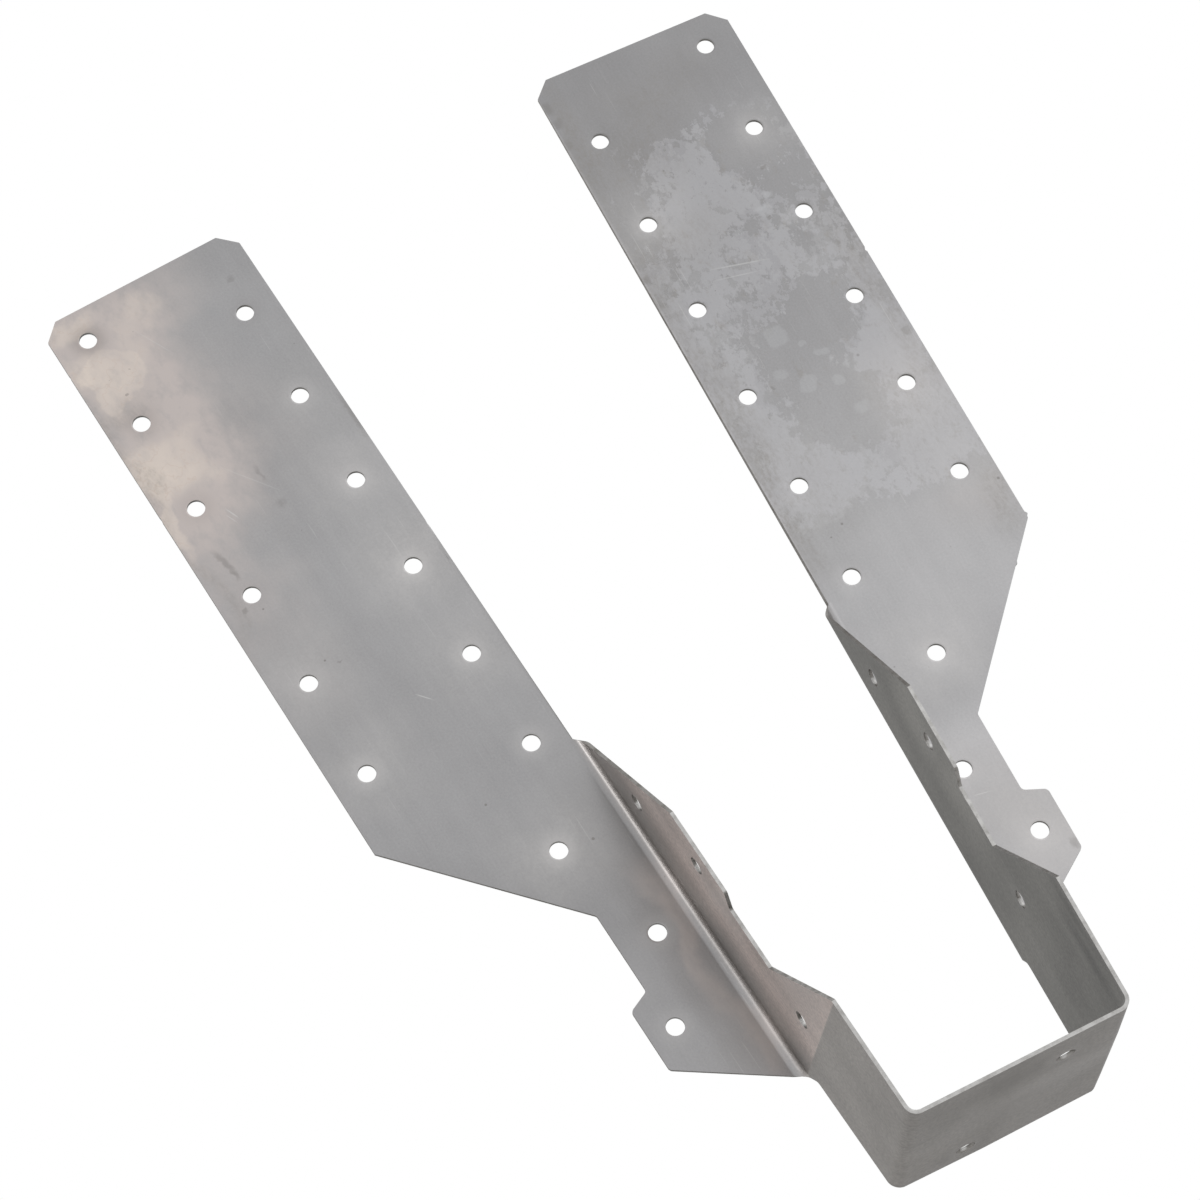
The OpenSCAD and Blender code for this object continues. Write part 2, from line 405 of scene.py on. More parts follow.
def newGroup(name, inputs, outputs):
    tree = bpy.data.node_groups.new(name, "ShaderNodeTree")
    for socketName, value in inputs.items():
        kind = "NodeSocketFloat" if isinstance(value, float) else "NodeSocketVector"
        socket = tree.interface.new_socket(name=socketName, in_out="INPUT", socket_type=kind)
        socket.default_value = value
    for socketName in outputs:
        tree.interface.new_socket(name=socketName, in_out="OUTPUT", socket_type="NodeSocketFloat")
    return tree, tree.nodes.new("NodeGroupInput").outputs, tree.nodes.new("NodeGroupOutput").inputs


def useGroup(tree, group, inputs):
    return addNode(tree, "ShaderNodeGroup", inputs, node_tree=group).outputs


def noise(tree, place, scale, detail=3.0, roughness=0.5, stretch=(1, 1, 1), turn=0.0, distortion=0.0):
    spread = addNode(tree, "ShaderNodeMapping", {"Vector": place, "Scale": stretch,
                                                 "Rotation": (0, 0, math.radians(turn))}).outputs[0]
    return addNode(tree, "ShaderNodeTexNoise", {"Vector": spread, "Scale": scale, "Detail": detail,
                                                "Roughness": roughness, "Distortion": distortion}).outputs


# a mark laid on the sheet: a rounded patch, 1 at its middle and 0 past its rim
# Long and Wide turn a place into shares of the patch's half length and half width
def makePatchGroup():
    tree, given, result = newGroup("patch", {
        "X": 0.0, "Y": 0.0, "Long X": 0.1, "Long Y": 0.0, "Long Start": 0.0,
        "Wide X": 0.0, "Wide Y": 0.1, "Wide Start": 0.0, "Rim": 1.4, "Full": 0.6}, ["Mask"])
    powers = []
    for way in ("Long", "Wide"):
        share = calculate(tree, "MULTIPLY_ADD", given["Y"], given[way + " Y"], given[way + " Start"])
        share = calculate(tree, "MULTIPLY_ADD", given["X"], given[way + " X"], share)
        square = calculate(tree, "MULTIPLY", share, share)
        powers.append(calculate(tree, "MULTIPLY", square, square))
    away = calculate(tree, "SQRT", calculate(tree, "SQRT", calculate(tree, "ADD", *powers)))
    tree.links.new(ramp(tree, away, given["Rim"], given["Full"]), result["Mask"])
    return tree


# grain of the rolled sheet: fine streaks along the coil, soft cloudiness, pits and dust
def makeRolledGroup():
    tree, given, result = newGroup("rolledSteel", {"Place": (0, 0, 0), "Streaks": 0.5, "Clouds": 0.5},
                                   ["Tone", "Gloss", "Height", "Specks"])
    place = given["Place"]
    fine = noise(tree, place, 1.0, detail=3.0, roughness=0.6, stretch=(0.05, 2.4, 1))[0]
    broad = noise(tree, place, 1.0, detail=2.0, roughness=0.5, stretch=(0.008, 0.3, 1))[0]
    cloud = noise(tree, place, 0.045, detail=3.0, roughness=0.55)[0]
    mottle = noise(tree, place, 1.9, detail=4.0, roughness=0.8)[0]
    streaks = calculate(tree, "ADD", calculate(tree, "SUBTRACT", fine, 0.5),
                        calculate(tree, "SUBTRACT", broad, 0.5))
    clouds = calculate(tree, "MULTIPLY_ADD", calculate(tree, "SUBTRACT", mottle, 0.5), 1.5,
                       calculate(tree, "SUBTRACT", cloud, 0.5))
    tone = calculate(tree, "MULTIPLY_ADD", streaks, given["Streaks"],
                     calculate(tree, "MULTIPLY", clouds, given["Clouds"]))
    tree.links.new(tone, result["Tone"])
    gloss = calculate(tree, "MULTIPLY_ADD", mottle, 0.12, calculate(tree, "MULTIPLY", fine, 0.1))
    tree.links.new(gloss, result["Gloss"])
    tree.links.new(calculate(tree, "MULTIPLY_ADD", mottle, 0.5, fine), result["Height"])
    dots = addNode(tree, "ShaderNodeTexVoronoi", {"Vector": place, "Scale": 0.17, "Randomness": 1.0})
    chance = addNode(tree, "ShaderNodeSeparateXYZ", {0: dots.outputs["Color"]}).outputs
    near = calculate(tree, "SUBTRACT", calculate(tree, "MULTIPLY", chance[0], 0.06), dots.outputs["Distance"])
    specks = calculate(tree, "MULTIPLY", ramp(tree, near, -0.012, 0.008), ramp(tree, chance[1], 0.35, 0.6))
    tree.links.new(specks, result["Specks"])
    return tree


# ragged, crisp-edged film where water dried on the sheet; Wet is raised where there was more of it
def makeStainGroup():
    tree, given, result = newGroup("waterStain", {"Place": (0, 0, 0), "Wet": 0.0}, ["Film", "Haze", "Dirt"])
    place = given["Place"]
    large = noise(tree, place, 0.075, detail=7.0, roughness=0.68, stretch=(1, 0.85, 1), turn=20.0, distortion=0.4)[0]
    broken = noise(tree, place, 0.33, detail=6.0, roughness=0.72, stretch=(1, 1.3, 1), turn=-25.0)[0]
    uneven = calculate(tree, "MULTIPLY_ADD", calculate(tree, "SUBTRACT", broken, 0.5), 2.6,
                       calculate(tree, "MULTIPLY", calculate(tree, "SUBTRACT", large, 0.5), 2.2))
    field = calculate(tree, "ADD", uneven, calculate(tree, "SUBTRACT", given["Wet"], 0.3))
    tree.links.new(ramp(tree, field, -0.03, 0.05), result["Film"])
    second = calculate(tree, "MULTIPLY_ADD", large, -1.6,
                       calculate(tree, "MULTIPLY_ADD", broken, 1.8, given["Wet"]))
    tree.links.new(ramp(tree, second, 0.42, 0.5), result["Haze"])
    dirt = noise(tree, place, 0.2, detail=6.0, roughness=0.75, stretch=(1, 1.5, 1), turn=40.0)[0]
    tree.links.new(ramp(tree, dirt, 0.54, 0.7), result["Dirt"])
    return tree


# hairline scratches: short dashes that run one way, thick in places and missing in others
def makeScratchGroup():
    tree, given, result = newGroup("hairScratches", {"Place": (0, 0, 0), "Turn": (0, 0, 0), "Least": 0.7}, ["Mask"])
    turned = addNode(tree, "ShaderNodeMapping", {"Vector": given["Place"], "Rotation": given["Turn"],
                                                 "Scale": (0.07, 2.6, 1)}).outputs[0]
    dash = addNode(tree, "ShaderNodeTexNoise", {"Vector": turned, "Scale": 1.0, "Detail": 1.0}).outputs[0]
    worn = addNode(tree, "ShaderNodeTexNoise", {"Vector": given["Place"], "Scale": 0.04, "Detail": 2.0}).outputs[0]
    full = calculate(tree, "ADD", given["Least"], 0.05)
    line = addNode(tree, "ShaderNodeMapRange", {"Value": dash, "From Min": given["Least"],
                                                "From Max": full}).outputs[0]
    tree.links.new(calculate(tree, "MULTIPLY", line, ramp(tree, worn, 0.4, 0.65)), result["Mask"])
    return tree


finish = {
    "metallic": 0.85,
    "roughness": 0.22,
    "filmRoughness": 0.06,
    "bumpDistance": 0.00002,
    "bumpStrength": 0.25,
    "scratchDepth": -0.6,
    "scratchTurn": 0.35,
    "scratchLeast": 0.7,
    "scratchAmount": 0.35,
    # flat sheet first, then the walls
    "streaks": (0.08, 0.19),
    "clouds": (0.26, 0.66),
    "grainTint": (1.0, 0.99, 1.005),
    "speckle": (0.86, 1.14),
    # tone of the sheet from the top of the left leg to the top of the right one: partly the bare sheet's own tone,
    # partly painted light and shade, such as the right leg darker towards its top
    "blankToneAndPaintedLight": (
        ("left", 272, 0.324), ("left", 246, 0.332), ("left", 226, 0.322), ("left", 206, 0.338),
        ("left", 190, 0.352), ("left", 176, 0.345), ("left", 150, 0.337), ("left", 120, 0.337),
        ("left", 104, 0.32), ("left", 92, 0.307), ("left", 80, 0.315), ("left", 66, 0.335), ("left", 50, 0.35),
        ("right", 52, 0.45), ("right", 66, 0.41), ("right", 80, 0.475), ("right", 92, 0.378),
        ("right", 112, 0.4), ("right", 126, 0.385), ("right", 136, 0.366), ("right", 146, 0.366),
        ("right", 156, 0.355), ("right", 166, 0.328), ("right", 176, 0.31), ("right", 196, 0.286),
        ("right", 206, 0.265), ("right", 236, 0.265), ("right", 256, 0.249), ("right", 272, 0.245),
    ),
    # painted reflection and light on the left wall by depth from the header, above the pink line: darker near the
    # bend, where it mirrors the bend's shade, and brighter further out, where the heat tint starts
    "acrossWall": (
        (3.2, 0.7), (6.0, 0.69), (8.0, 0.93), (11.0, 1.12), (13.5, 1.32), (16.0, 1.6), (19.0, 1.84),
        (22.5, 1.84), (26.0, 1.55), (30.5, 1.7),
    ),
    "wallTone": (0.34, 0.324, 0.3),
    # painted light that brightens the left wall below the pink line
    "leftWallPaintedLight": 1.1,
    "leftWallAt": (-20.0, -26.0),  # x on the blank
    "pinkTint": (1.065, 0.972, 0.955),
    "pinkFade": (4.0, 18.0, 0.35, 1.0),  # two depths and the strength at each
    # sharp lower rim of the left wall's tint
    "pinkLine": {"height": 31.8, "depth": 5.0, "rise": -0.082, "soft": 0.25},
    # how far in mm a mark's rim wanders, the grain of it and the noise's detail
    "rims": {"ragged": (6.5, 0.11, 5.0), "loose": (11.0, 0.05, 5.0), "close": (0.8, 0.7, 2.0)},
    "rimOf": {
        "warmTint": "loose", "strawTint": "ragged", "wet": "loose", "dry": "ragged", "drops": "close",
        "smudges": "close", "grime": "loose", "scratches": "sharp", "rubbed": "ragged", "shaded": "ragged",
    },
    "rimRoom": 5,
    # marks: where, u, v, half width, half height, turn, softness, weight
    "warmTint": (
        ("left", 43, 246, 15, 36, 0, 0.5, 0.55), ("left", 36, 264, 20, 10, 0, 0.4, 0.36),
        ("left", 47, 206, 10, 24, 0, 0.6, 0.4), ("left", 44, 172, 10, 20, 0, 0.8, 0.1),
        ("left", 40, 232, 9, 26, 0, 0.5, 0.3), ("left", 6.4, 72, 2.6, 16, 0, 0.6, 0.45),
        ("left", 5.2, 46, 2.4, 9, 0, 0.6, 0.5), ("left", 27, 236, 10, 24, 10, 0.8, 0.15),
        ("right", 44, 131, 8, 6, 0, 1, 0.16), ("right", 46, 165, 7, 8, 0, 1, 0.1),
        ("right", 20, 52, 9, 12, 0, 1, 0.12), ("right", 16, 74, 8, 9, 0, 1, 0.08),
    ),
    "strawTint": (
        ("left", 44.0, 253, 7.0, 7.4, 14, 0.07, 0.3), ("left", 44, 225.8, 8.5, 7.6, 4, 0.3, 0.3),
        ("left", 46.0, 252, 5.0, 6.0, 14, 0.8, 0.35), ("left", 46.5, 226.0, 6.5, 6.5, 4, 0.9, 0.5),
        ("left", 47, 268.5, 6, 2.5, 0, 0.4, 0.5), ("left", 29, 264, 3, 4, 20, 0.5, 0.3),
        ("left", 51.2, 213, 1.6, 8, 0, 0.4, 0.5), ("left", 36, 258, 2.5, 8, -20, 0.7, 0.25),
        ("left", 50, 258, 2.5, 4, 0, 0.4, 0.4),
    ),
    "grime": (
        ("right", 3, 188, 4.0, 34, 0, 0.8, 0.5), ("right", 3, 145, 3.0, 16, 0, 0.8, 0.35),
        ("right", 3.5, 255, 2.5, 14, 0, 0.8, 0.5), ("right", 24, 258, 12, 7, 0, 1, 0.35),
        ("right", 14, 243, 8, 7, 0, 1, 0.4), ("right", 14, 217, 9, 6, 0, 1, 0.4),
        ("right", 50, 190, 3, 20, 0, 0.8, 0.5), ("right", 42, 160, 8, 12, 0, 1, 0.3),
        ("right", 49.5, 131, 3.5, 10, 0, 0.8, 0.5), ("right", 12, 150, 8, 12, 0, 1, 0.3),
        ("left", 51.4, 232, 1.8, 16, 0, 0.8, 0.35), ("left", 51.2, 196, 1.6, 20, 0, 0.8, 0.3),
        ("left", 46, 243, 5, 3, 0, 0.9, 0.25), ("wallLeft", 12, 88, 6, 14, 0, 1, 0.5),
        ("seat", 0, 46, 22, 6, 0, 1, 0.5), ("seat", -16, 20, 5, 10, 0, 1, 0.3),
    ),
    "wet": (
        ("right", 23, 232, 10, 13, 0, 0.45, 0.42), ("right", 11, 190, 10, 36, 0, 0.5, 0.32),
        ("right", 46, 190, 8, 28, 0, 0.4, 0.22), ("right", 27, 210, 13, 12, 0, 0.4, 0.3),
        ("right", 48, 176, 6, 7, 0, 0.2, 0.45), ("right", 37, 177, 6.5, 4.5, 20, 0.12, 0.5),
        ("right", 14, 158, 12, 14, 0, 0.5, 0.3), ("right", 46, 152, 9, 9, 0, 0.5, 0.3),
        ("right", 30, 149, 20, 7, 0, 0.5, 0.25), ("right", 27, 194, 34, 52, 0, 0.12, 0.18),
    ),
    "dry": (
        ("right", 39, 237, 7, 7, 0, 0.25, 0.5), ("right", 44, 222, 6, 4.5, 0, 0.4, 0.35),
        ("right", 32, 217, 6, 2.5, 10, 0.5, 0.3), ("right", 42, 208, 2.0, 5, 0, 0.3, 0.35),
        ("right", 36, 192, 6, 6, 0, 0.4, 0.35), ("right", 26, 172, 12, 17, 8, 0.25, 0.5),
        ("right", 16, 193, 5, 5, 0, 0.8, 0.22), ("right", 51, 186, 3, 6, 0, 0.2, 0.4),
        ("right", 9, 232, 9, 14, 0, 0.5, 0.35), ("right", 12, 212, 5, 4, 0, 0.6, 0.2),
        ("right", 4, 160, 3, 12, 0, 0.5, 0.3),
    ),
    "drops": (
        ("right", 23, 187.5, 2.4, 2.6, 0, 0.2, 1), ("right", 19.3, 178.3, 1.5, 1.2, 0, 0.3, 1),
        ("right", 30.5, 179.6, 1.6, 0.8, 20, 0.3, 1), ("right", 24, 173.6, 1.9, 2.3, 30, 0.15, 1),
        ("right", 30.6, 171.4, 1.3, 1.2, 0, 0.2, 1), ("right", 27.5, 183.4, 0.9, 0.6, 0, 0.3, 1),
        ("right", 36, 218, 1.8, 1.4, 0, 0.3, 1), ("right", 38.5, 221.5, 1.1, 0.8, 0, 0.3, 1),
        ("right", 28, 215.5, 1.0, 0.8, 0, 0.3, 1), ("right", 32, 163, 1.6, 1.4, 0, 0.3, 1),
    ),
    "smudges": (
        ("right", 22, 257, 3, 2.5, 0, 1, 0.12), ("right", 15, 245, 4, 4, 0, 1, 0.12),
        ("right", 36, 262, 5, 4, 0, 1, 0.08), ("right", 3.2, 265, 0.9, 1.6, 0, 0.6, 0.5),
        ("right", 3.4, 260, 1.1, 1.2, 0, 0.6, 0.45), ("right", 3.0, 254, 0.8, 1.2, 0, 0.6, 0.3),
        ("right", 3.2, 213.5, 0.9, 1.0, 0, 0.6, 0.45), ("right", 3.4, 207, 1.2, 2.4, 0, 0.8, 0.35),
        ("right", 41, 228.4, 0.7, 0.4, 0, 0.4, 0.6), ("right", 36, 216, 0.5, 0.4, 0, 0.4, 0.5),
        ("right", 50.3, 175.8, 1.1, 1.1, 0, 0.3, 0.35), ("right", 16.4, 176, 0.6, 0.25, 40, 0.4, 0.5),
        ("right", 23.5, 50, 0.7, 1.2, 0, 0.6, 0.5), ("left", 27.6, 214, 0.35, 2.0, 5, 0.8, 0.35),
        ("left", 27.2, 205.3, 0.9, 0.9, 0, 0.8, 0.35), ("left", 45.2, 199, 0.6, 3.2, 12, 0.6, 0.5),
        ("left", 44.6, 195, 0.4, 1.2, 0, 0.6, 0.4), ("left", 47.2, 186.6, 0.5, 0.6, 0, 0.5, 0.5),
        ("left", 43.2, 247.1, 0.3, 0.25, 0, 0.3, 0.6), ("left", 39.6, 252.8, 0.25, 0.22, 0, 0.3, 0.5),
        ("left", 8.7, 261, 0.8, 0.6, 0, 0.6, 0.35), ("left", 2.6, 216, 0.5, 5, 0, 0.8, 0.5),
        ("left", 35.8, 165, 0.35, 0.3, 0, 0.3, 0.5), ("seat", -25.2, 49, 0.3, 7, 0, 0.9, 0.45),
        ("seat", -25.9, 35, 0.3, 9, 0, 0.9, 0.35), ("seat", -25.6, 17, 0.3, 9, 0, 0.9, 0.3),
        ("seat", -14.0, 13.2, 1.3, 2.4, 80, 1, 0.3), ("seat", 4.5, 48.0, 1.0, 3.6, 80, 1, 0.35),
        ("seat", -5.5, 49.5, 0.9, 5.5, 84, 1, 0.3), ("seat", -2, 40, 1.2, 2.2, 60, 1, 0.25),
        ("seat", 3, 30, 0.7, 1.4, 40, 1, 0.25), ("seat", -13, 40, 1.6, 3, 70, 1, 0.2),
    ),
    "scratches": (
        ("left", 37.8, 208.8, 0.14, 1.5, 22, 0.6, 0.8), ("left", 38.6, 207.8, 0.1, 1.2, 22, 0.6, 0.6),
        ("left", 31.5, 256, 0.1, 4.0, 25, 0.7, 0.4), ("left", 24.3, 148, 0.12, 1.6, 40, 0.6, 0.8),
        ("left", 30, 214, 0.1, 5.5, 35, 0.8, 0.35), ("right", 11, 68.6, 1.6, 0.12, 10, 0.6, 0.7),
        ("right", 24, 208, 5.0, 0.15, 14, 0.8, 0.5), ("right", 22, 205.6, 4.0, 0.12, 12, 0.8, 0.4),
    ),
    # painted light: soft light rings round the holes, as the dish round each catches light, and lighter places on
    # the seat and left wall
    "rubbed": (
        ("left", 10.2, 226.6, 8, 9, 0, 1, 0.25), ("left", 10.2, 202.5, 8, 8, 0, 1, 0.4),
        ("left", 10.2, 178, 9, 9, 0, 1, 0.55), ("left", 10.2, 152, 8, 8, 0, 1, 0.35),
        ("left", 44, 165.5, 8, 8, 0, 1, 0.35), ("left", 44, 139.5, 8, 8, 0, 1, 0.4),
        ("left", 18.2, 102.2, 9, 8, 0, 1, 0.45), ("right", 44.5, 238, 7, 6, 0, 1, 0.2),
        ("right", 44, 164, 8, 8, 0, 1, 0.3), ("right", 10.2, 226, 9, 8, 0, 1, 0.3),
        ("right", 18.2, 102.2, 8, 8, 0, 1, 0.4), ("right", 20, 58, 9, 14, 0, 1, 0.6),
        ("right", 44, 140, 7, 8, 0, 1, 0.25), ("wallLeft", 25, 66, 5, 6, 0, 1, 0.6),
        ("wallLeft", 42, 38, 14, 7, 0, 0.9, 0.5), ("seat", 21, 33, 7, 26, 0, 1, 0.55),
        ("seat", 4, 20, 16, 5, 0, 0.9, 0.15),
    ),
    "shaded": (
        ("left", 46, 244, 5.5, 2.4, 0, 0.9, 0.12), ("seat", -8, 47, 6, 12, 0, 1, 0.5),
        ("seat", 2, 45, 5, 12, 0, 1, 0.35), ("seat", -19, 54, 5, 8, 0, 1, 0.4),
        ("seat", 12, 43, 3.5, 4.5, 0, 0.7, 0.4), ("seat", -8, 14, 3.5, 4.5, 0, 0.7, 0.4),
        ("seat", -2, 51, 20, 5, 0, 1, 0.4), ("left", 8, 74, 5.5, 40, 0, 0.9, 0.3),
        ("left", 7.5, 50, 5, 12, 0, 0.9, 0.2), ("wallLeft", 8, 104, 9, 12, 0, 1, 0.25),
        ("wallLeft", 24, 6, 12, 5, 0, 1, 0.25),
    ),
}
# what lies on the sheet, and the painted light and shade: its tint and its strength
# where it is patchy, the strength is the range of the noise and the strengths at its ends
coats = {
    "warm": ((0.5, 0.452, 0.434), (0.25, 0.65, 0.7, 1.2)),
    "straw": ((0.66, 0.585, 0.525), (0.3, 0.6, 0.75, 1.1)),
    "curls": ((0.52, 0.42, 0.36), 0.5),
    "film": ((0.62, 0.617, 0.66), 0.15),
    "haze": ((0.6, 0.6, 0.61), 0.1),
    "dirt": ((0.235, 0.215, 0.185), 0.3),
    "flecks": ((0.2, 0.19, 0.175), 0.16),
    "drops": ((0.62, 0.64, 0.66), 0.1),
    "smudges": ((0.16, 0.15, 0.14), 0.7),
    "grime": ((0.2, 0.182, 0.158), (0.42, 0.64, 0.2, 0.7)),
    "rubbed": ((0.6, 0.58, 0.565), (0.3, 0.7, 0.35, 0.6)),
    "shaded": ((0.19, 0.178, 0.165), 0.5),
    # painted light and shade round the holes, for the shading of each dish
    "lightRing": ((0.6, 0.585, 0.575), 0.3),
    "darkRing": ((0.2, 0.18, 0.17), 0.4),
    "scratches": ((0.62, 0.62, 0.61), 0.6),
    "specks": ((0.17, 0.16, 0.15), 0.6),
    # painted light round the holes of the back
    "backRing": ((0.5, 0.5, 0.49), 0.2),
    "backScratches": ((0.5, 0.5, 0.5), 0.35),
    "backSpecks": ((0.17, 0.16, 0.15), 0.5),
}


# how much of a kind of mark lies at a place; a mark mirrors its turn on the left side
def gatherMarks(tree, group, place, marks):
    total = 0.0
    for where, u, v, halfWide, halfTall, turn, soft, weight in marks:
        sign = -1 if where.lower().endswith("left") else 1
        if where == "seat":
            x, y = u, sheet["header"] - v
        elif where.startswith("wall"):
            x, y = onWall(sides[where[4:].lower()], u, v)
        else:
            x, y = onLeg(sides[where], u, v)
        turned = Matrix.Rotation(math.radians(turn * sign), 2)
        along, across = turned @ Vector((1 / halfTall, 0)), turned @ Vector((0, 1 / halfWide))
        mask = useGroup(tree, group, {
            "X": place[0], "Y": place[1], "Rim": 1 + soft, "Full": 1 - soft,
            "Long X": along.x, "Long Y": along.y, "Long Start": -along.dot(Vector((x, y))),
            "Wide X": across.x, "Wide Y": across.y, "Wide Start": -across.dot(Vector((x, y)))})["Mask"]
        total = calculate(tree, "MULTIPLY_ADD", mask, weight, total)
    return total


# the place, moved a little this way and that, so that what is laid out by it has a ragged rim
def wander(tree, place, amount, grain, detail=4.0):
    drift = addNode(tree, "ShaderNodeTexNoise", {"Vector": place, "Scale": grain, "Detail": detail})
    offset = addNode(tree, "ShaderNodeVectorMath", {0: drift.outputs["Color"], 1: (-0.5, -0.5, -0.5)}).outputs[0]
    swing = addNode(tree, "ShaderNodeVectorMath", {0: offset, "Scale": amount * 2}, operation="SCALE").outputs[0]
    moved = addNode(tree, "ShaderNodeVectorMath", {0: place, 1: swing}).outputs[0]
    return addNode(tree, "ShaderNodeSeparateXYZ", {0: moved}).outputs


def limit(tree, value):
    return addNode(tree, "ShaderNodeClamp", {"Value": value}).outputs[0]


def tinted(tree, tone, tint=(1.0, 1.0, 1.0)):
    parts = {i: calculate(tree, "MULTIPLY", tone, share) for i, share in enumerate(tint)}
    return addNode(tree, "ShaderNodeCombineColor", parts).outputs[0]


def toneRamp(tree, value, spots):
    node = addNode(tree, "ShaderNodeValToRGB", {0: value})
    stops = node.color_ramp.elements
    while len(stops) < len(spots):
        stops.new(0.5)
    for stop, (place, tone) in zip(stops, spots):
        stop.position = place
        stop.color = (tone, tone, tone, 1)
    return node.outputs[0]


# the legs' tone along the blank, partly painted light and shade
def toneAndPaintedLightAlongBlank(tree, x):
    span = 640  # of the blank, in mm
    spots = sorted((sides[side]["sign"] * (sides[side]["zero"] + v), tone) for side, v, tone in finish["blankToneAndPaintedLight"])
    return toneRamp(tree, calculate(tree, "MULTIPLY_ADD", x, 1 / span, 0.5),
                    [((spot + span / 2) / span, tone) for spot, tone in spots])


# painted reflection and light across the left wall, as a factor by depth
def paintedReflectionByDepth(tree, depth):
    deepest, brightest = 40.0, 4.0
    tone = toneRamp(tree, calculate(tree, "DIVIDE", depth, deepest),
                    [(place / deepest, tone / brightest) for place, tone in finish["acrossWall"]])
    return addNode(tree, "ShaderNodeVectorMath", {0: tone, "Scale": brightest}, operation="SCALE").outputs[0]


# the marks that reach one part of the front face, with room for their ragged rims
def marksOn(part, marks):
    kept = []
    for mark in marks:
        where, u, halfWide, soft = mark[0], mark[1], mark[3], mark[6]
        nearBend = u - halfWide * (1 + soft) - finish["rimRoom"] < bendAt
        if part == "strap":
            keep = where not in sides or nearBend
        else:
            keep = where == part or (where.lower() == "wall" + part and nearBend)
        if keep:
            kept.append(mark)
    return kept


def cover(tree, colour, name, amount, patchy=None):
    tint, strength = coats[name]
    if patchy is not None:
        strength = ramp(tree, patchy, *strength)
    return mixColour(tree, limit(tree, calculate(tree, "MULTIPLY", amount, strength)), colour, (*tint, 1))


# fine light and dark speckle, which shows most on the strap and walls
def speckle(tree, place, colour, amount):
    spots = noise(tree, place, 1.1, detail=3.0, roughness=0.6)[0]
    return mixColour(tree, amount, colour, tinted(tree, ramp(tree, spots, 0.3, 0.7, *finish["speckle"])), "MULTIPLY")


# the left wall gets painted light: a brightening below a sharp line, and above it painted reflection and light by
# depth, with the pink of the leg's heat tint
def strapColour(tree, axes, onWalls):
    colour = mixColour(tree, onWalls, toneAndPaintedLightAlongBlank(tree, axes[0]), (*finish["wallTone"], 1))
    line = finish["pinkLine"]
    above = calculate(tree, "SUBTRACT", calculate(tree, "MULTIPLY", axes[0], -1.0),
                      sides["left"]["zero"] + line["height"])
    above = calculate(tree, "MULTIPLY_ADD", axes[1], line["rise"],
                      calculate(tree, "SUBTRACT", above, (sheet["header"] - line["depth"]) * line["rise"]))
    pink = calculate(tree, "MULTIPLY", ramp(tree, above, -line["soft"], line["soft"]), onWalls)
    depth = calculate(tree, "SUBTRACT", sheet["header"], axes[1])
    onLeft = calculate(tree, "MULTIPLY", ramp(tree, axes[0], *finish["leftWallAt"]), onWalls)
    # painted light and reflection on the left wall
    wallTone = mixColour(tree, pink, (finish["leftWallPaintedLight"],) * 3 + (1,), paintedReflectionByDepth(tree, depth))
    colour = mixColour(tree, onLeft, colour, mixColour(tree, 1.0, colour, wallTone, "MULTIPLY"))
    pink = calculate(tree, "MULTIPLY", pink, ramp(tree, depth, *finish["pinkFade"]))
    return mixColour(tree, pink, colour, (*finish["pinkTint"], 1), "MULTIPLY")


# heat tint: warm brown, and straw with thin curls in it
def layTint(tree, place, colour, warm, straw):
    patchy = noise(tree, place, 0.22, detail=6.0, roughness=0.65, stretch=(1, 1.6, 1), turn=30.0)[0]
    colour = cover(tree, colour, "warm", warm, patchy)
    colour = cover(tree, colour, "straw", straw, patchy)
    curls = noise(tree, place, 0.16, detail=3.0, roughness=0.6)[0]
    curls = calculate(tree, "ABSOLUTE", calculate(tree, "SUBTRACT", curls, 0.5))
    curls = calculate(tree, "MULTIPLY", ramp(tree, curls, 0.0, 0.02, 1.0, 0.0), limit(tree, straw))
    return cover(tree, colour, "curls", curls)


# dried water: film and haze, with dirt, flecks and small round drops in them
def layStain(tree, place, colour, group, wet, dry, drops):
    stain = useGroup(tree, group, {"Place": place, "Wet": calculate(tree, "SUBTRACT", wet, dry)})
    reach = ramp(tree, wet, 0.02, 0.12)
    film = calculate(tree, "MULTIPLY", stain["Film"], reach)
    haze = calculate(tree, "MULTIPLY", stain["Haze"], reach)
    colour = cover(tree, colour, "film", film)
    colour = cover(tree, colour, "haze", haze)
    dirt = calculate(tree, "MULTIPLY", stain["Dirt"], ramp(tree, wet, 0.05, 0.3))
    colour = cover(tree, colour, "dirt", dirt)
    flecks = noise(tree, place, 0.75, detail=5.0, roughness=0.7, stretch=(0.6, 1.4, 1), turn=25.0)[0]
    flecks = calculate(tree, "MULTIPLY", ramp(tree, flecks, 0.58, 0.66), ramp(tree, wet, 0.1, 0.3))
    colour = cover(tree, colour, "flecks", flecks)
    return cover(tree, colour, "drops", limit(tree, drops)), film


def newMaterial(name):
    material = bpy.data.materials.new(name)
    material.use_nodes = True
    return material, material.node_tree, material.node_tree.nodes["Principled BSDF"].inputs


# place on the flat blank in mm
def blankPlace(tree):
    flat = addNode(tree, "ShaderNodeUVMap", uv_map="flat").outputs[0]
    return addNode(tree, "ShaderNodeMapping", {"Vector": flat, "Scale": (flatUnit, flatUnit, 1)}).outputs[0]


def joinSteel(tree, shader, colour, rough, height, strength):
    bump = addNode(tree, "ShaderNodeBump", {"Height": height, "Distance": finish["bumpDistance"],
                                            "Strength": strength})
    for name, value in (("Base Color", colour), ("Roughness", rough), ("Normal", bump.outputs[0])):
        tree.links.new(value, shader[name])
    shader["Metallic"].default_value = finish["metallic"]


